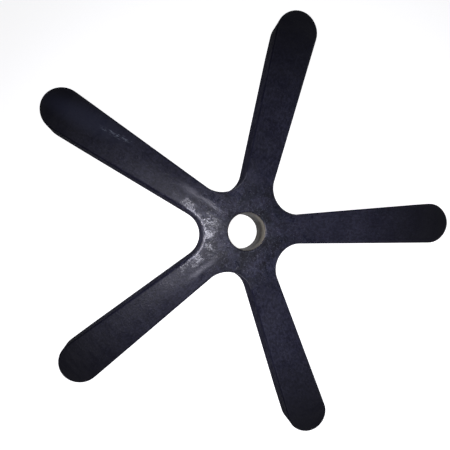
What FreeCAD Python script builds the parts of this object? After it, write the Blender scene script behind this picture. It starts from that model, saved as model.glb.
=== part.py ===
import FreeCAD
import Part
import math
import os

# Five star base of an office chair, moulded in one piece: five arms with a soft ridge on a hub
# with a tapered seat for the gas column, hollow and ribbed underneath, a caster socket in each tip.
# Millimetres, +Z up, origin on the hub axis at the underside of the hub. Arm one points to +X.

# Plan
arm_count = 5
tip_circle_radius = 320.0      # hub axis to the end of an arm
arm_hub_width = 36.8           # between an arm's flanks, carried on to the hub axis
arm_tip_width = 60.4           # across the rounded end, twice its radius
root_fillet = 33.5             # plan radius between neighbouring arms

# Heights
hub_length = 50.0              # underside of the hub to where the ridges would meet on the axis
foot_drop = 22.0               # undersides of the tips below the underside of the hub
ridge_drop = 36.0              # fall of a ridge from the axis to the end of an arm
ridge_radius = 140.0           # rounding of the ridge

# Moulding
draft_angle = 1.2              # side walls, degrees
wall = 3.8                     # side walls
skin = 4.4                     # top
edge_radius = 3.5              # rounding of the top edge
rib = 2.5                      # ribs and webs
rib_pitch = 36.0               # length of one crossed pair of ribs
rib_recess = 2.5               # ribs stand back from the rim
foot_length = 66.0             # flat foot, measured from the end of an arm

# Hub bore, for the column's taper
seat_mouth_diameter = 50.2     # at the height where the ridges would meet
seat_angle = 1.4377            # included angle of the taper, degrees
land_length = 12.0             # straight land below the seat
bore_lip = 2.5                 # rounding at the upper mouth
hub_wall = 8.5

# Caster sockets, in the middle of the rounded ends
socket_diameter = 11.0
socket_depth = 32.0
socket_wall = 7.0
socket_chamfer = 1.0

UP = FreeCAD.Vector(0, 0, 1)
ORIGIN = FreeCAD.Vector(0, 0, 0)

pitch = 360.0 / arm_count
half_pitch = math.radians(pitch / 2)
tip_radius = arm_tip_width / 2
caster_radius = tip_circle_radius - tip_radius
flare = math.asin((tip_radius - arm_hub_width / 2) / caster_radius)
foot_z = -foot_drop
wall_height = hub_length + foot_drop
ridge_slope = ridge_drop / tip_circle_radius
seat_slope = math.tan(math.radians(seat_angle / 2))
seat_mouth_radius = seat_mouth_diameter / 2
land_radius = seat_mouth_radius - seat_slope * (hub_length - land_length)
hub_radius = seat_mouth_radius + hub_wall
boss_radius = socket_diameter / 2 + socket_wall
deep = 3 * wall_height
wide = 2 * tip_circle_radius


def at(r, degrees, z=0.0):
    a = math.radians(degrees)
    return FreeCAD.Vector(r * math.cos(a), r * math.sin(a), z)


def prism(points, height):
    return Part.Face(Part.makePolygon(points + [points[0]])).extrude(UP * height)


def half_width(s):
    # of an arm at the distance s from the hub axis
    return (arm_hub_width / 2 + s * math.sin(flare)) / math.cos(flare)


def root_centre():
    # distance of a root arc's centre from the hub axis
    return (arm_hub_width / 2 + root_fillet) / math.sin(half_pitch - flare)


def outline(inset, z):
    # plan outline, offset inwards: for each arm a flank, the rounded end, a flank, the root arc
    end = tip_radius - inset
    root = root_fillet + inset
    centre = root_centre()
    tip_s = caster_radius - end * math.sin(flare)
    tip_v = end * math.cos(flare)
    root_s = centre * math.cos(half_pitch) + root * math.sin(flare)
    root_v = centre * math.sin(half_pitch) - root * math.cos(flare)
    edges = []
    for k in range(arm_count):
        turn = k * pitch

        def p(s, v):
            return at(s, turn, z) + at(v, turn + 90)

        end_point = p(caster_radius + end, 0)
        valley = at(centre - root, turn + pitch / 2, z)
        next_root = at(root_s, turn + pitch, z) + at(root_v, turn + pitch - 90)
        edges.append(Part.LineSegment(p(root_s, -root_v), p(tip_s, -tip_v)).toShape())
        edges.append(Part.Arc(p(tip_s, -tip_v), end_point, p(tip_s, tip_v)).toShape())
        edges.append(Part.LineSegment(p(tip_s, tip_v), p(root_s, root_v)).toShape())
        edges.append(Part.Arc(p(root_s, root_v), valley, next_root).toShape())
    return Part.Wire(edges)


def star(inset):
    # drafted walls on the outline, full width at the foot: flat flanks, conical ends and roots
    lean = wall_height * math.tan(math.radians(draft_angle))
    low = outline(inset, foot_z)
    high = outline(inset + lean, hub_length)
    faces = [Part.Face(low), Part.Face(high)]
    for a, b in zip(low.Edges, high.Edges):
        if "Line" in a.Curve.TypeId:
            ends = [a.Vertexes[0].Point, a.Vertexes[-1].Point, b.Vertexes[-1].Point, b.Vertexes[0].Point]
            faces.append(Part.Face(Part.makePolygon(ends + [ends[0]])))
        else:
            faces += Part.makeLoft([Part.Wire(a), Part.Wire(b)], False, True).Faces
    shell = Part.Shell(faces)
    shell.sewShape()
    return Part.Solid(shell)


def sector():
    return prism(
        [FreeCAD.Vector(0, 0, -deep), at(wide, -pitch / 2, -deep), at(wide, pitch / 2, -deep)], 2 * deep
    )


def roof(drop, radius):
    # all under one arm's top: two slopes that meet in a ridge, rounded, drawn out along the ridge.
    # The slopes of neighbouring arms lie in one plane, so there is no crease in the valley.
    along = FreeCAD.Vector(1, 0, -ridge_slope).normalize()
    across = FreeCAD.Vector(0, 1, 0)
    upright = FreeCAD.Vector(ridge_slope, 0, 1).normalize()
    normal = FreeCAD.Vector(ridge_slope, ridge_slope * math.tan(half_pitch), 1)
    trace = normal.cross(along)
    fall = math.atan(abs(trace.dot(upright) / trace.dot(across)))
    start = FreeCAD.Vector(0, 0, hub_length - drop) - along * tip_circle_radius

    def q(u, w):
        return start + across * u + upright * w

    low = -wide * math.tan(fall)
    touch = q(radius * math.sin(fall), radius * (math.cos(fall) - 1 / math.cos(fall)))
    other = q(-radius * math.sin(fall), radius * (math.cos(fall) - 1 / math.cos(fall)))
    corners = [touch, q(wide, low), q(wide, low - deep), q(-wide, low - deep), q(-wide, low), other]
    edges = [Part.LineSegment(corners[i], corners[i + 1]).toShape() for i in range(5)]
    if radius:
        crest = q(0, radius * (1 - 1 / math.cos(fall)))
        edges.append(Part.Arc(other, crest, touch).toShape())
    return Part.Face(Part.Wire(edges)).extrude(along * (3 * tip_circle_radius))


def above_rim(lift):
    # all above one arm's lower rim: level under the hub, a slope along the arm, the flat foot
    profile = [
        FreeCAD.Vector(-wide, -wide, lift),
        FreeCAD.Vector(hub_radius, -wide, lift),
        FreeCAD.Vector(tip_circle_radius - foot_length, -wide, foot_z + lift),
        FreeCAD.Vector(wide, -wide, foot_z + lift),
        FreeCAD.Vector(wide, -wide, deep),
        FreeCAD.Vector(-wide, -wide, deep),
    ]
    face = Part.Face(Part.makePolygon(profile + [profile[0]]))
    return face.extrude(FreeCAD.Vector(0, 2 * wide, 0))


def plate(s0, v0, s1, v1):
    # an upright web between two points of an arm's plan
    run = FreeCAD.Vector(s1 - s0, v1 - v0, 0).normalize()
    side = FreeCAD.Vector(-run.y, run.x, 0) * (rib / 2)
    a = FreeCAD.Vector(s0, v0, -deep)
    b = FreeCAD.Vector(s1, v1, -deep)
    return prism([a - side, b - side, b + side, a + side], 2 * deep)


def post(s, radius):
    return Part.makeCylinder(radius, 2 * deep, FreeCAD.Vector(s, 0, -deep), UP)


def ribs():
    # crossed ribs along an arm, webs from the hub to its valleys and from the boss to the end
    centre = root_centre()
    valley = centre - root_fillet
    cross_from = centre * math.cos(half_pitch) + root_fillet * math.sin(flare)
    cross_to = caster_radius - boss_radius
    count = max(1, round((cross_to - cross_from) / rib_pitch))
    step = (cross_to - cross_from) / count
    out = []
    for i in range(count):
        s0 = cross_from + i * step
        s1 = s0 + step
        out.append(plate(s0, -half_width(s0), s1, half_width(s1)))
        out.append(plate(s0, half_width(s0), s1, -half_width(s1)))
    out.append(plate(land_radius, 0, cross_from + step / 2, 0))
    corner = FreeCAD.Vector(cross_from, half_width(cross_from), 0)
    for sign in (-1, 1):
        for end in (at(valley, sign * pitch / 2), FreeCAD.Vector(corner.x, sign * corner.y, 0)):
            start = end * (land_radius / end.Length)
            out.append(plate(start.x, start.y, end.x, end.y))
    for turn in (-100, -50, 0, 50, 100):
        end = at(tip_radius, turn)
        out.append(plate(caster_radius, 0, caster_radius + end.x, end.y))
    return out


def hollow():
    # the pockets of one arm, and the hollow below its ribs
    room = star(wall).common(roof(skin, 0)).common(sector())
    room = room.cut(post(0, hub_radius)).cut(post(caster_radius, boss_radius))
    above = above_rim(rib_recess)
    for web in ribs():
        room = room.cut(web.common(above))
    return room


def socket():
    mouth = FreeCAD.Vector(caster_radius, 0, foot_z)
    radius = socket_diameter / 2
    hole = Part.makeCylinder(radius, socket_depth, mouth, UP)
    return hole.fuse(Part.makeCone(radius + socket_chamfer, radius, socket_chamfer, mouth, UP))


def bore():
    land = Part.makeCylinder(land_radius, land_length, ORIGIN, UP)
    seat_foot = FreeCAD.Vector(0, 0, land_length)
    seat = Part.makeCone(land_radius, seat_mouth_radius, hub_length - land_length, seat_foot, UP)
    return land.fuse(seat)


def around(shape):
    # one arm's shape repeated on every arm
    copies = []
    for k in range(arm_count):
        turned = shape.copy()
        turned.rotate(ORIGIN, UP, k * pitch)
        copies.append(turned)
    return copies


def rims(body, low, high):
    # edges between the top and an upright wall, by their distance from the hub axis
    found = []
    for edge in body.Edges:
        p = edge.valueAt((edge.FirstParameter + edge.LastParameter) / 2)
        r = math.hypot(p.x, p.y)
        middle = (hub_length - (ridge_drop + foot_drop) * r / tip_circle_radius) / 2
        if p.z < middle or not low < r < high:
            continue
        tilt = []
        for face in body.ancestorsOfType(edge, Part.Face):
            u, v = face.Surface.parameter(p)
            tilt.append(abs(face.normalAt(u, v).z))
        if len(tilt) == 2 and max(tilt) > 0.9 and min(tilt) < 0.3:
            found.append(edge)
    return found


arm = star(0).common(roof(0, ridge_radius)).common(sector()).common(above_rim(0))
arms = around(arm)
base = arms[0].multiFuse(arms[1:]).removeSplitter()
base = base.cut(bore()).Solids[0]
base = base.makeFillet(edge_radius, rims(base, hub_radius, wide))
base = base.makeFillet(bore_lip, rims(base, 0, hub_radius))
for cut in around(hollow()) + around(socket()):
    base = base.cut(cut)
base = base.Solids[0]

print("valid", base.isValid(), "solids", len(base.Solids), "cm3", round(base.Volume / 1000, 1))
os.makedirs("parts", exist_ok=True)
base.exportStep("parts/five_star_base.step")
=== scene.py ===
import math

import bmesh
import bpy
from mathutils import Matrix, Vector


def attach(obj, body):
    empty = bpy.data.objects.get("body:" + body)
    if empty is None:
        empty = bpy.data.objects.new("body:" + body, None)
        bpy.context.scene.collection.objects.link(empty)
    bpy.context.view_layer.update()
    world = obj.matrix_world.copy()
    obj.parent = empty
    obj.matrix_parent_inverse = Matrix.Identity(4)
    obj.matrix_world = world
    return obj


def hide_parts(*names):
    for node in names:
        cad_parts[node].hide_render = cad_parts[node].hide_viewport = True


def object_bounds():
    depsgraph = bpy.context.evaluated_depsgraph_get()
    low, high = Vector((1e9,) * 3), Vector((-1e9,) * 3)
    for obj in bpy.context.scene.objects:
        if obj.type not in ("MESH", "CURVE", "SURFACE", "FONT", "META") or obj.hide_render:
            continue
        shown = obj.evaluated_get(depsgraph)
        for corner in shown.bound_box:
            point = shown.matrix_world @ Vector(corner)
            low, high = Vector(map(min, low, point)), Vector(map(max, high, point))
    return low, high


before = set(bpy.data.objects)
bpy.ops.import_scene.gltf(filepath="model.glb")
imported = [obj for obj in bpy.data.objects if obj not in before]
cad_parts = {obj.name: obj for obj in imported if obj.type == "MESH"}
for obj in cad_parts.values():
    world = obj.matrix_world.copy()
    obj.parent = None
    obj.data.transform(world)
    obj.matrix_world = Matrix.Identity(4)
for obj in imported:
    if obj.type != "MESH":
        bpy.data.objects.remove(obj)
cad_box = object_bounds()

# Looks of the five star base: one moulding of glass-filled nylon, seen from above on a pale floor.
# Metres, in the frame of the solids: +Z up the hub axis, the first arm along +X.
# Two numbers for a reach, start or end say where an effect begins to change and where it has changed.
# Four numbers add the values that it has there. Three numbers for a noise are size, detail, roughness.

# Places on the moulding
HALF_PITCH = math.radians(36)  # half the angle between two arms
HUB_TOP = 0.050                # where the ridges would meet on the hub axis
HUB_REACH = 0.115              # the pebbling is open round the hub, out to here
BORE_RADIUS = 0.0266           # just outside the wall of the bore and the steep part of its lip
LIP_REACH = (0.0272, 0.0290)   # the lip of the bore is polished by the column
DULL_RING = (0.033, 0.042)     # the column's cover kept the ring round the bore dull, out to here
ROOT_CENTRE = 0.0936           # centres of the arcs between the arms, and their radius
ROOT_RADIUS = 0.0335
POLISH_REACH = (0.010, 0.030)  # the edges of those arcs are polished by hands, this far in
EDGE_REACH = (0.0025, 0.0045)  # and shine on the very edge
PAINTED_TIP_SHADE_REACH = (0.16, 0.33)       # painted shade, deepening the arms to black towards the tips
FLAT = (1, 1, 0)               # leaves height out of a place


# Helpers for node trees

def put(tree, kind, inputs=None, **settings):
    """A new node with its settings, its inputs given as values or as sockets to link."""
    made = tree.nodes.new("ShaderNode" + kind)
    for name, value in settings.items():
        setattr(made, name, value)
    for name, value in (inputs or {}).items():
        if isinstance(value, bpy.types.NodeSocket):
            tree.links.new(value, made.inputs[name])
        else:
            made.inputs[name].default_value = value
    return made


def calc(tree, operation, a, b=0.0, c=0.0):
    return put(tree, "Math", {0: a, 1: b, 2: c}, operation=operation).outputs[0]


def product(tree, first, *others):
    for other in others:
        first = calc(tree, "MULTIPLY", first, other)
    return first


def vector_calc(tree, operation, a, b=(0, 0, 0)):
    return put(tree, "VectorMath", {0: a, 1: b}, operation=operation).outputs[0]


def length(tree, vector):
    return put(tree, "VectorMath", {0: vector}, operation="LENGTH").outputs["Value"]


def split(tree, vector):
    return put(tree, "SeparateXYZ", {0: vector}).outputs


def join(tree, x=0.0, y=0.0, z=0.0):
    return put(tree, "CombineXYZ", {0: x, 1: y, 2: z}).outputs[0]


def span(tree, value, low, high, to_low=0.0, to_high=1.0):
    """value, eased from the stretch low to high on to the stretch to_low to to_high."""
    inputs = {"Value": value, "From Min": low, "From Max": high, "To Min": to_low, "To Max": to_high}
    return put(tree, "MapRange", inputs, interpolation_type="SMOOTHSTEP").outputs[0]


def fade(tree, value, low, high):
    """1 up to low, eased down to 0 at high."""
    return span(tree, value, low, high, 1.0, 0.0)


def within(tree, value, start, end):
    """1 between the stretches start and end, eased to 0 before and after them."""
    return product(tree, span(tree, value, *start), fade(tree, value, *end))


def blend(tree, factor, low, high):
    """low where factor is 0, high where it is 1."""
    return span(tree, factor, 0, 1, low, high)


def tint(tree, factor, a, b):
    """Colour a where factor is 0, b where it is 1."""
    return put(tree, "Mix", {0: factor, 6: a, 7: b}, data_type="RGBA").outputs[2]


def scaled(tree, colour, factor):
    return put(tree, "VectorMath", {0: colour, "Scale": factor}, operation="SCALE").outputs[0]


def noise(tree, place, size, detail, roughness):
    inputs = {"Vector": place, "Scale": 1 / size, "Detail": detail, "Roughness": roughness}
    return put(tree, "TexNoise", inputs).outputs["Fac"]


VECTOR = "NodeSocketVector"
VALUE = "NodeSocketFloat"


def open_group(name, inputs, outputs):
    """An empty node group with its named sockets, and its input and output nodes."""
    tree = bpy.data.node_groups.new(name, "ShaderNodeTree")
    for label, kind in inputs:
        tree.interface.new_socket(label, in_out="INPUT", socket_type=kind)
    for label, kind in outputs:
        tree.interface.new_socket(label, in_out="OUTPUT", socket_type=kind)
    return tree, tree.nodes.new("NodeGroupInput").outputs, tree.nodes.new("NodeGroupOutput").inputs


def place_group(tree, group, inputs):
    return put(tree, "Group", inputs, node_tree=group).outputs


# Effects that the finishes share

GRAIN = (0.0009, 1.0, 0.5)     # spark grain of the mould
GRAIN_DEPTH = 0.00008
PEBBLE = (0.0026, 2.0, 0.6)    # coarser pebbling over the grain
PEBBLE_DEPTH = 0.00022
OPEN_GRAIN = (0.30, 0.42)      # grain times pebbling, where specks show


def spark_grain():
    """The mould's spark grain: its height in metres, and specks where the grain is open."""
    tree, given, result = open_group(
        "spark_grain",
        [("Place", VECTOR), ("Grain depth", VALUE), ("Pebble depth", VALUE)],
        [("Height", VALUE), ("Specks", VALUE)],
    )
    grain = noise(tree, given["Place"], *GRAIN)
    pebble = noise(tree, given["Place"], *PEBBLE)
    fine = product(tree, grain, given["Grain depth"])
    coarse = product(tree, pebble, given["Pebble depth"])
    tree.links.new(calc(tree, "ADD", fine, coarse), result["Height"])
    tree.links.new(span(tree, product(tree, grain, pebble), *OPEN_GRAIN), result["Specks"])
    return tree


BLOTCH = (0.014, 3.0, 0.65)
BLOTCH_SHIFT = (0.045, 0.032, 0.052)  # puts glossy blotches beside the root that faces -X
BLOTCH_EDGE = (0.0026, 1.0, 0.5)  # finer noise that breaks up their edges, and its share
BLOTCH_EDGE_SHARE = 0.30
BLOTCH_GLOSS = (0.51, 0.84)    # both noises together, from dull to glossy


def blotches():
    """Gloss that changes in blotches, from 0 to 1, broken up at their edges."""
    tree, given, result = open_group("blotches", [("Place", VECTOR)], [("Gloss", VALUE)])
    broad = noise(tree, vector_calc(tree, "ADD", given["Place"], BLOTCH_SHIFT), *BLOTCH)
    broken = noise(tree, given["Place"], *BLOTCH_EDGE)
    both = calc(tree, "MULTIPLY_ADD", broken, BLOTCH_EDGE_SHARE, broad)
    tree.links.new(span(tree, both, *BLOTCH_GLOSS), result["Gloss"])
    return tree


def new_material(name):
    material = bpy.data.materials.new(name)
    material.use_nodes = True
    tree = material.node_tree
    shader = tree.nodes["Principled BSDF"]
    place = put(tree, "TexCoord").outputs["Object"]
    return material, tree, shader, place


def link_finish(tree, shader, colour, roughness, specular, height):
    """Feeds the shader of a finish. The height is in metres."""
    normal = put(tree, "Bump", {"Height": height, "Strength": 1.0, "Distance": 1.0}).outputs["Normal"]
    tree.links.new(colour, shader.inputs["Base Color"])
    tree.links.new(roughness, shader.inputs["Roughness"])
    tree.links.new(normal, shader.inputs["Normal"])
    shader.inputs["Specular IOR Level"].default_value = specular


# Distances on the star

def axis_distance(tree, place):
    """Distance from the hub axis."""
    return length(tree, vector_calc(tree, "MULTIPLY", place, FLAT))


def arm_frame(tree, place, offset=0.0):
    """Distances along the nearest arm and aside from its ridge, with all arms turned by offset."""
    axes = split(tree, place)
    angle = calc(tree, "SUBTRACT", calc(tree, "ARCTAN2", axes["Y"], axes["X"]), offset)
    turn = calc(tree, "WRAP", angle, HALF_PITCH, -HALF_PITCH)
    radius = axis_distance(tree, place)
    along = product(tree, radius, calc(tree, "COSINE", turn))
    aside = product(tree, radius, calc(tree, "SINE", turn))
    return along, aside


def root_distance(tree, place):
    """Distance in from the edge of the nearest arc between two arms."""
    along, aside = arm_frame(tree, place, HALF_PITCH)
    reach = length(tree, join(tree, calc(tree, "SUBTRACT", along, ROOT_CENTRE), aside))
    return calc(tree, "SUBTRACT", reach, ROOT_RADIUS)


STREAK_RADIUS = 0.055          # where the streaks from the hub are as wide as the blotches
STREAK_SQUEEZE = 0.80          # less than 1 draws them out


def streaked(tree, place):
    """Places for a pattern that runs out from the hub in streaks."""
    heading = vector_calc(tree, "NORMALIZE", vector_calc(tree, "MULTIPLY", place, FLAT))
    heading = vector_calc(tree, "MULTIPLY", heading, (STREAK_RADIUS,) * 3)
    run = calc(tree, "MULTIPLY", axis_distance(tree, place), STREAK_SQUEEZE)
    return vector_calc(tree, "ADD", heading, join(tree, z=run))


# Wear and marks on the top, with painted highlights and painted light

RIDGE_REACH = (0.001, 0.0065)  # the ridges are rubbed this far to either side
RIDGE_START = (0.034, 0.055)
RIDGE_END = (0.080, 0.130)


def ridge_wear(tree, place):
    """Where the ridges are rubbed, along their first stretch from the hub."""
    along, aside = arm_frame(tree, place)
    near = fade(tree, calc(tree, "ABSOLUTE", aside), *RIDGE_REACH)
    return product(tree, near, within(tree, along, RIDGE_START, RIDGE_END))


RIM_OUTER = (0.0022, 0.0032)   # the painted highlight, a pale band on the rounded edge, measured in from the arc
RIM_INNER = (0.0042, 0.0056)
RIM_LEFT = (-0.050, -0.042)    # only on the side of -X
RIM_RISE = (0.0, 0.022, 0.45, 1.0)  # stronger away from the middle of the arc
RIM_END = (0.030, 0.042)
RIM_NOISE = (0.006, 2.0, 0.6)
RIM_BROKEN = (0.34, 0.58, 0.35, 1.0)


def painted_rim_highlight(tree, place, inside):
    """Painted highlight on the rounded edge between the two arms beside -X, palest where the flanks begin.
    """
    axes = split(tree, place)
    outward = calc(tree, "ABSOLUTE", axes["Y"])
    band = within(tree, inside, RIM_OUTER, RIM_INNER)
    left = fade(tree, axes["X"], *RIM_LEFT)
    reach = product(tree, span(tree, outward, *RIM_RISE), fade(tree, outward, *RIM_END))
    broken = span(tree, noise(tree, place, *RIM_NOISE), *RIM_BROKEN)
    return product(tree, band, left, reach, broken)


# Painted highlight: pale streaks on the two arms beside -X, where the light catches them
HIGHLIGHT_STREAK_MIDDLE = 0.0035            # the streaks lie this far outside the ridges
HIGHLIGHT_STREAK_REACH = (0.001, 0.0075)    # and reach this far to either side
HIGHLIGHT_STREAK_START = (0.046, 0.062)
HIGHLIGHT_STREAK_END = (0.085, 0.125)
HIGHLIGHT_STREAK_NOISE = (0.0062, 3.0, 0.6)
HIGHLIGHT_STREAK_SQUEEZE = (0.22, 0.06, 1)  # draws the noise out along the arm, and tells the two arms apart
HIGHLIGHT_STREAK_BROKEN = (0.36, 0.66)


def painted_highlight_streaks(tree, place):
    """Painted highlight: pale streaks along the two arms beside -X, just outside their ridges."""
    axes = split(tree, place)
    outward = calc(tree, "ABSOLUTE", axes["Y"])
    run = calc(tree, "MULTIPLY", axes["X"], -math.cos(HALF_PITCH))
    along = calc(tree, "MULTIPLY_ADD", outward, math.sin(HALF_PITCH), run)
    shift = calc(tree, "MULTIPLY", axes["X"], math.sin(HALF_PITCH))
    aside = calc(tree, "MULTIPLY_ADD", outward, math.cos(HALF_PITCH), shift)
    off = calc(tree, "ABSOLUTE", calc(tree, "SUBTRACT", aside, HIGHLIGHT_STREAK_MIDDLE))
    drawn = vector_calc(tree, "MULTIPLY", join(tree, along, axes["Y"], aside), HIGHLIGHT_STREAK_SQUEEZE)
    broken = span(tree, noise(tree, drawn, *HIGHLIGHT_STREAK_NOISE), *HIGHLIGHT_STREAK_BROKEN)
    return product(tree, fade(tree, off, *HIGHLIGHT_STREAK_REACH), within(tree, along, HIGHLIGHT_STREAK_START, HIGHLIGHT_STREAK_END), broken)


SCUFF_TURN = math.radians(150.8)  # direction of the scuff on the third arm, a little off its ridge
SCUFF_PLACE = (0.2102, -0.0360, 0)  # its middle, in that direction
SCUFF_SIZE = (0.034, 0.0046, 1)
SCUFF_NOISE = (0.0014, 3.0, 0.7)
SCUFF_SQUEEZE = (0.13, 1, 0)   # draws the noise out into thin streaks
SCUFF_STREAK = (0.46, 0.60)
BREAK_NOISE = (0.0030, 2.0, 0.6)
BREAK_SQUEEZE = (0.45, 1, 0)
BREAK_STREAK = (0.40, 0.58)
# Painted light: a paler oval round the scuff that lifts the third arm's outer half
PAINTED_LIGHT_PLACE = (0.250, -0.0375, 0)
PAINTED_LIGHT_SIZE = (0.088, 0.022, 1)
OVAL_EDGE = (0.2, 1.0)         # share of an oval's reach in which it fades


def oval(tree, place, middle, size):
    """1 in the middle of an oval, eased to 0 at its edge."""
    local = vector_calc(tree, "MULTIPLY", vector_calc(tree, "SUBTRACT", place, middle), FLAT)
    return fade(tree, length(tree, vector_calc(tree, "DIVIDE", local, size)), *OVAL_EDGE)


def scuff_masks(tree, place):
    """Streaks of a pale scuff on one arm, and an oval of painted light round them over the arm's outer
    half.
    """
    inputs = {"Vector": place, "Rotation": (0, 0, SCUFF_TURN)}
    turned = put(tree, "Mapping", inputs, vector_type="TEXTURE").outputs[0]
    streaks = noise(tree, vector_calc(tree, "MULTIPLY", turned, SCUFF_SQUEEZE), *SCUFF_NOISE)
    breaks = noise(tree, vector_calc(tree, "MULTIPLY", turned, BREAK_SQUEEZE), *BREAK_NOISE)
    broken = product(tree, span(tree, streaks, *SCUFF_STREAK), span(tree, breaks, *BREAK_STREAK))
    scuff = product(tree, oval(tree, turned, SCUFF_PLACE, SCUFF_SIZE), broken)
    return scuff, oval(tree, turned, PAINTED_LIGHT_PLACE, PAINTED_LIGHT_SIZE)


SINK_DEPTH = 0.00016           # sink marks over the hub's wall and the middle ribs
SINK_RING = 0.0300             # radius of the mark over the hub's wall
SINK_WIDTH = 0.0075            # half the width of a sink mark
SINK_END = (0.070, 0.135)      # where the marks along the arms fade out


def sink_marks(tree, place):
    """Height of the shallow sinks that the hub's wall and the middle ribs leave in the top."""
    along, aside = arm_frame(tree, place)
    off_ring = calc(tree, "ABSOLUTE", calc(tree, "SUBTRACT", axis_distance(tree, place), SINK_RING))
    ring = fade(tree, off_ring, 0, SINK_WIDTH)
    groove = fade(tree, calc(tree, "ABSOLUTE", aside), 0, SINK_WIDTH)
    groove = product(tree, groove, fade(tree, along, *SINK_END))
    return calc(tree, "MULTIPLY", calc(tree, "MAXIMUM", ring, groove), -SINK_DEPTH)


MOTTLE = (0.0034, 2.0, 0.6)    # fine change of shade
MOTTLE_SQUEEZE = 0.65          # it runs lengthwise on the arms
MOTTLE_RANGE = (0.35, 0.65, -1.0, 1.0)
MOTTLE_DEPTH = (0.33, 0.45)    # its share of the shade on the arms and round the hub
HUB_CLOUD = (0.017, 3.0, 0.6)  # broader changes round the hub
HUB_CLOUD_RANGE = (0.36, 0.64)
HUB_SHADE = (0.25, 1.25)       # shades of the darkest and the palest of them
GLOSS_SHADE = (0.95, 1.35)     # and of dull and glossy blotches round the hub
# Painted shade: the ring round the bore is darkened as well as dulled
DULL_RING_PAINTED_SHADE = 0.78


def uneven_shade(tree, place, hub, hub_gloss, ring):
    """Share of the plain colour: mottled, cloudy round the hub, and darker in the ring round the bore, as
    painted shade.
    """
    along, aside = arm_frame(tree, place)
    lengthwise = join(tree, calc(tree, "MULTIPLY", along, MOTTLE_SQUEEZE), aside)
    mottle = span(tree, noise(tree, lengthwise, *MOTTLE), *MOTTLE_RANGE)
    mottle = calc(tree, "MULTIPLY_ADD", mottle, blend(tree, hub, *MOTTLE_DEPTH), 1.0)
    cloud = span(tree, noise(tree, place, *HUB_CLOUD), *HUB_CLOUD_RANGE)
    cloud = calc(tree, "SUBTRACT", blend(tree, cloud, *HUB_SHADE), 1.0)
    cloud = calc(tree, "MULTIPLY_ADD", cloud, hub, 1.0)
    glossy = blend(tree, hub_gloss, *GLOSS_SHADE)
    return product(tree, mottle, glossy, cloud, blend(tree, ring, 1.0, DULL_RING_PAINTED_SHADE))


# Finishes

CLOUD = (0.05, 4.0, 0.65)      # slow changes between the deep and the pale colour
CLOUD_RANGE = (0.35, 0.65)
NYLON_DEEP = (0.0118, 0.0118, 0.0205, 1)
NYLON_PALE = (0.0180, 0.0182, 0.0295, 1)
# Painted shade at the tips of the arms
PAINTED_TIP_SHADE = (0.0055, 0.0055, 0.0072, 1)
DUST = (0.0200, 0.0235, 0.0330, 1)
DUST_SHARE = 0.4
SPECK = (0.075, 0.075, 0.096, 1)
SPECK_SHARE = (0.3, 0.9)       # on the arms and round the hub
# Painted light on the third arm
PAINTED_LIGHT_COLOUR = (0.0222, 0.0240, 0.0385, 1)
PAINTED_LIGHT_SHARE = 0.8
# Painted highlight of the streaks beside the ridges
PAINTED_STREAK_HIGHLIGHT = (0.070, 0.070, 0.084, 1)
# Painted highlight on the rounded edge of the root
PAINTED_RIM_HIGHLIGHT = (0.22, 0.22, 0.25, 1)
SCUFF = (0.170, 0.190, 0.220, 1)
NYLON_SPECULAR = 0.20          # specular level of the filled, dusty skin
NYLON_ROUGHNESS = 0.33
ARM_DULLEST = 0.46             # roughness of the dullest blotches
HUB_DULLEST = 0.52
POLISHED_ROUGHNESS = 0.25
SPECK_ROUGHNESS = -0.14        # the specks near the hub are glossier
SCUFF_ROUGHNESS = 0.12         # the scuff and the ring round the bore are duller
DULL_RING_ROUGHNESS = 0.16
RIDGE_SHARE = (0.3, 0.7)       # polish of the ridges, in dull and in glossy blotches
HUB_PEBBLE_DEPTH = 0.00042
POLISHED_PEBBLE = 0.12         # share of the pebbling that polish leaves


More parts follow.
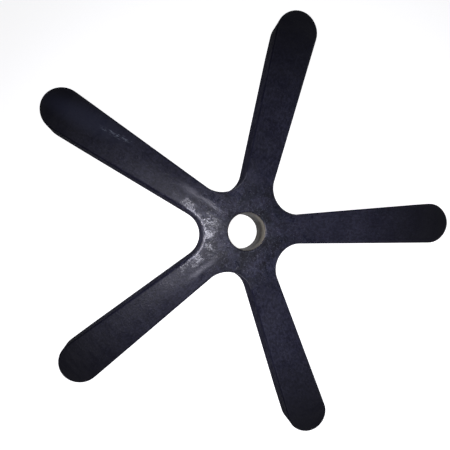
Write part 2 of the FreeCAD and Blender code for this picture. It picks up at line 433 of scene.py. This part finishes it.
def moulded_nylon(grain_group, blotch_group):
    """The top: pebbled and blotchy round the hub, polished at the roots of the arms, with painted
    highlights and painted light beside -X and painted shade to black at the tips.
    """
    material, tree, shader, place = new_material("moulded_nylon")
    radius = axis_distance(tree, place)
    inside = root_distance(tree, place)
    hub = fade(tree, radius, BORE_RADIUS, HUB_REACH)
    ring = within(tree, radius, LIP_REACH, DULL_RING)
    gloss = place_group(tree, blotch_group, {"Place": streaked(tree, place)})["Gloss"]
    hub_gloss = product(tree, gloss, hub)
    scuff, painted_light = scuff_masks(tree, place)

    roots = product(tree, fade(tree, inside, *POLISH_REACH), gloss)
    ridges = product(tree, ridge_wear(tree, place), blend(tree, gloss, *RIDGE_SHARE))
    edges = calc(tree, "MAXIMUM", fade(tree, inside, *EDGE_REACH), fade(tree, radius, *LIP_REACH))
    polish = calc(tree, "MAXIMUM", calc(tree, "MAXIMUM", roots, ridges), edges)

    pebble = blend(tree, hub, PEBBLE_DEPTH, HUB_PEBBLE_DEPTH)
    pebble = product(tree, pebble, blend(tree, polish, 1.0, POLISHED_PEBBLE))
    inputs = {"Place": place, "Grain depth": GRAIN_DEPTH, "Pebble depth": pebble}
    grain = place_group(tree, grain_group, inputs)
    height = calc(tree, "ADD", grain["Height"], sink_marks(tree, place))

    colour = tint(tree, span(tree, noise(tree, place, *CLOUD), *CLOUD_RANGE), NYLON_DEEP, NYLON_PALE)
    colour = scaled(tree, colour, uneven_shade(tree, place, hub, hub_gloss, ring))
    for mask, layer in (
        (calc(tree, "MULTIPLY", hub_gloss, DUST_SHARE), DUST),
        (product(tree, grain["Specks"], blend(tree, hub, *SPECK_SHARE)), SPECK),
        # painted shade at the tips
        (span(tree, radius, *PAINTED_TIP_SHADE_REACH), PAINTED_TIP_SHADE),
        # painted light on the third arm
        (calc(tree, "MULTIPLY", painted_light, PAINTED_LIGHT_SHARE), PAINTED_LIGHT_COLOUR),
        # painted highlight streaks
        (painted_highlight_streaks(tree, place), PAINTED_STREAK_HIGHLIGHT),
        # painted highlight on the rim
        (painted_rim_highlight(tree, place, inside), PAINTED_RIM_HIGHLIGHT),
        (scuff, SCUFF),
    ):
        colour = tint(tree, mask, colour, layer)

    dullest = blend(tree, hub, ARM_DULLEST, HUB_DULLEST)
    dull = blend(tree, gloss, dullest, NYLON_ROUGHNESS)
    roughness = blend(tree, polish, dull, POLISHED_ROUGHNESS)
    for mask, change in (
        (product(tree, grain["Specks"], hub), SPECK_ROUGHNESS),
        (scuff, SCUFF_ROUGHNESS),
        (ring, DULL_RING_ROUGHNESS),
    ):
        roughness = calc(tree, "MULTIPLY_ADD", mask, change, roughness)
    link_finish(tree, shader, colour, roughness, NYLON_SPECULAR, height)
    return material


WALL_DEEP = (0.0125, 0.0125, 0.0225, 1)
WALL_PALE = (0.0190, 0.0190, 0.0330, 1)
WALL_SPECULAR = 0.01
WALL_ROUGHNESS = (0.90, 0.78)  # in dull and in glossy blotches
WALL_PEBBLE_DEPTH = 0.00011


def grained_wall(grain_group, blotch_group):
    """The side walls and the underside: an even grain with hardly any gloss."""
    material, tree, shader, place = new_material("grained_wall")
    inputs = {"Place": place, "Grain depth": GRAIN_DEPTH, "Pebble depth": WALL_PEBBLE_DEPTH}
    height = place_group(tree, grain_group, inputs)["Height"]
    gloss = place_group(tree, blotch_group, {"Place": place})["Gloss"]
    colour = tint(tree, gloss, WALL_DEEP, WALL_PALE)
    # Painted shade: the walls also deepen to black towards the tips
    colour = tint(tree, span(tree, axis_distance(tree, place), *PAINTED_TIP_SHADE_REACH), colour, PAINTED_TIP_SHADE)
    link_finish(tree, shader, colour, blend(tree, gloss, *WALL_ROUGHNESS), WALL_SPECULAR, height)
    return material


BORE_DEEP = (0.0120, 0.0085, 0.0050, 1)
BORE_PALE = (0.040, 0.031, 0.021, 1)
BORE_PAINTED_LIGHT = (0.105, 0.099, 0.088, 1)
BORE_PAINTED_LIGHT_HEIGHTS = (0.026, 0.046)     # heights between which the bore's wall is painted paler up to its lip, painted light
BORE_PAINTED_LIGHT_SHARE = (0.5, 1.0)   # in the deep and in the pale rings
BORE_RING = (0.0021, 3.0, 0.6)
BORE_RING_SQUEEZE = (0.06, 0.06, 1)  # draws the noise out into rings
BORE_RING_RANGE = (0.35, 0.7)
BORE_SPECULAR = 0.03
BORE_ROUGHNESS = (0.55, 0.42)
BORE_GRAIN_DEPTH = 0.00004
BORE_PEBBLE_DEPTH = 0.000066


def burnished_bore(grain_group, blotch_group):
    """The bore's wall, rubbed smooth and greased by the column, with faint rings from its seating, and
    painted light that pales it towards the lip.
    """
    material, tree, shader, place = new_material("burnished_bore")
    inputs = {"Place": place, "Grain depth": BORE_GRAIN_DEPTH, "Pebble depth": BORE_PEBBLE_DEPTH}
    height = place_group(tree, grain_group, inputs)["Height"]
    gloss = place_group(tree, blotch_group, {"Place": place})["Gloss"]
    rings = noise(tree, vector_calc(tree, "MULTIPLY", place, BORE_RING_SQUEEZE), *BORE_RING)
    rings = span(tree, rings, *BORE_RING_RANGE)
    # Painted light: the wall paler towards the lip, darker deeper in
    painted_bore_light = span(tree, split(tree, place)["Z"], *BORE_PAINTED_LIGHT_HEIGHTS)
    painted_bore_light = product(tree, painted_bore_light, blend(tree, rings, *BORE_PAINTED_LIGHT_SHARE))
    colour = tint(tree, painted_bore_light, tint(tree, rings, BORE_DEEP, BORE_PALE), BORE_PAINTED_LIGHT)
    link_finish(tree, shader, colour, blend(tree, gloss, *BORE_ROUGHNESS), BORE_SPECULAR, height)
    return material


# The moulding

TOP, WALL, BORE = range(3)     # order of its finishes
LIP_TILT = 0.85                # upward lean of a face, above which the lip is no longer the bore
WALL_TILT = 0.35               # below which a face counts as a wall near the hub
ARM_WALL_TILT = 0.85           # and on the arms, where the rounded edge has the grain of the wall
SHARP_ANGLE = math.radians(40)
MERGE_DISTANCE = 1e-5


def finish_of(face):
    reach = face.calc_center_median().xy.length
    if reach < BORE_RADIUS and abs(face.normal.z) < LIP_TILT:
        return BORE
    wall_tilt = WALL_TILT if reach < HUB_REACH else ARM_WALL_TILT
    return TOP if face.normal.z > wall_tilt else WALL


def smooth_moulding(node_object, finishes):
    """A merged copy of the solid's mesh with smooth faces, sharp edges and its own finishes."""
    shape = bmesh.new()
    shape.from_mesh(node_object.data)
    bmesh.ops.remove_doubles(shape, verts=shape.verts, dist=MERGE_DISTANCE)
    for face in shape.faces:
        face.smooth = True
        face.material_index = finish_of(face)
    for edge in shape.edges:
        edge.smooth = edge.is_manifold and edge.calc_face_angle() < SHARP_ANGLE
    mesh = bpy.data.meshes.new("star_base")
    shape.to_mesh(mesh)
    shape.free()
    for finish in finishes:
        mesh.materials.append(finish)
    piece = bpy.data.objects.new("star_base", mesh)
    bpy.context.scene.collection.objects.link(piece)
    even = piece.modifiers.new("even_shading", "WEIGHTED_NORMAL")
    even.mode = "FACE_AREA_WITH_ANGLE"
    even.keep_sharp = True
    return piece


# Stage, light and camera

FLOOR_SIZE = 12.0
FLOOR_PALE = (0.82, 0.82, 0.82, 1)
FLOOR_GLOW = 0.76              # white that the camera sees besides, so that the lit floor comes out white
FLOOR_WHITE = (1.0, 1.0, 0.955, 1)  # a little warm, against the bluish light


def seen_directly(tree):
    """1 on rays from the camera, also by way of a mirror or glass, and 0 on rays that gather light."""
    path = put(tree, "LightPath").outputs
    clear = calc(tree, "MAXIMUM", path["Is Glossy Ray"], path["Is Transmission Ray"])
    return calc(tree, "MAXIMUM", path["Is Camera Ray"], clear)


def pale_floor(height):
    """A floor that comes out white where it is lit, and keeps the shadow."""
    shape = bmesh.new()
    bmesh.ops.create_grid(shape, x_segments=1, y_segments=1, size=FLOOR_SIZE / 2)
    bmesh.ops.translate(shape, verts=shape.verts, vec=(0, 0, height))
    mesh = bpy.data.meshes.new("floor")
    shape.to_mesh(mesh)
    shape.free()
    material = bpy.data.materials.new("pale_floor")
    material.use_nodes = True
    tree = material.node_tree
    tree.nodes.clear()
    surface = put(tree, "BsdfDiffuse", {"Color": FLOOR_PALE}).outputs[0]
    glow = calc(tree, "MULTIPLY", seen_directly(tree), FLOOR_GLOW)
    white = put(tree, "Emission", {"Color": FLOOR_WHITE, "Strength": glow}).outputs[0]
    both = put(tree, "AddShader", {0: surface, 1: white}).outputs[0]
    put(tree, "OutputMaterial", {"Surface": both})
    mesh.materials.append(material)
    floor = bpy.data.objects.new("floor", mesh)
    bpy.context.scene.collection.objects.link(floor)


ROOM_WHITE = (0.80, 0.80, 0.82, 1)
CEILING_DIM = (0.10, 0.10, 0.16, 1)
CEILING_START = (0.18, 0.50)   # upward lean of a direction, from the room's walls to its ceiling


def pale_world():
    """A pale room with a dim ceiling."""
    world = bpy.data.worlds.new("studio")
    world.use_nodes = True
    tree = world.node_tree
    tree.nodes.clear()
    upward = split(tree, put(tree, "TexCoord").outputs["Generated"])["Z"]
    colour = tint(tree, span(tree, upward, *CEILING_START), ROOM_WHITE, CEILING_DIM)
    light = put(tree, "Background", {"Color": colour, "Strength": 1.0}).outputs[0]
    put(tree, "OutputWorld", {"Surface": light})
    bpy.context.scene.world = world


def soft_lamp(name, place, target, size, power, colour, spread, mirrored):
    """A square lamp with its light held to a spread in degrees, seen in reflections or not."""
    light = bpy.data.lights.new(name, "AREA")
    light.shape = "SQUARE"
    light.size = size
    light.energy = power
    light.color = colour
    light.spread = math.radians(spread)
    lamp = bpy.data.objects.new(name, light)
    lamp.location = place
    lamp.rotation_euler = (Vector(target) - Vector(place)).to_track_quat("-Z", "Y").to_euler()
    lamp.visible_camera = False
    lamp.visible_glossy = mirrored
    bpy.context.scene.collection.objects.link(lamp)


# Camera, from the perspective of the picture
PICTURE = 450
FOCAL_PIXELS = 412
CAMERA_PLACE = Vector((-0.1169, 0.0050, 0.5907))
CAMERA_AIM = Vector((-0.0465, -0.0372, HUB_TOP))
ARM_TURN = math.radians(2.45)  # the first arm's turn from the picture's horizontal
SHIFT_PIXELS = (11, 36)        # the picture's middle lies this far right of and above the lens axis
SENSOR = 36.0


def photo_camera():
    data = bpy.data.cameras.new("camera")
    data.sensor_width = SENSOR
    data.lens = FOCAL_PIXELS / PICTURE * SENSOR
    data.shift_x = SHIFT_PIXELS[0] / PICTURE
    data.shift_y = SHIFT_PIXELS[1] / PICTURE
    camera = bpy.data.objects.new("camera", data)
    back = (CAMERA_PLACE - CAMERA_AIM).normalized()
    right = Vector((math.sin(ARM_TURN), math.cos(ARM_TURN), 0)).cross(back).normalized()
    up = back.cross(right)
    turn = Matrix((right, up, back)).transposed().to_4x4()
    camera.matrix_world = Matrix.Translation(CAMERA_PLACE) @ turn
    bpy.context.scene.collection.objects.link(camera)
    bpy.context.scene.camera = camera


grain_group = spark_grain()
blotch_group = blotches()
finishes = [finish(grain_group, blotch_group) for finish in (moulded_nylon, grained_wall, burnished_bore)]
base = smooth_moulding(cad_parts["five_star_base"], finishes)
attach(base, "root")
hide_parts("five_star_base")

pale_floor(cad_box[0].z)
pale_world()
soft_lamp(
    "overhead_lamp",
    place=(-0.20, -0.012, 1.0),
    target=(0.03, -0.125, 0.03),
    size=0.14,
    power=1.09,
    colour=(0.90, 0.89, 1.0),
    spread=60,
    mirrored=True,
)
# The left lamp lights the wall of the bore. Mirrored, it would glare on the arms in low views.
soft_lamp(
    "left_lamp",
    place=(-0.60, 0.0, 0.24),
    target=(0.0, 0.0, 0.045),
    size=0.08,
    power=0.045,
    colour=(1.0, 0.95, 0.88),
    spread=14,
    mirrored=False,
)
photo_camera()
bpy.context.scene.view_settings.view_transform = "Standard"
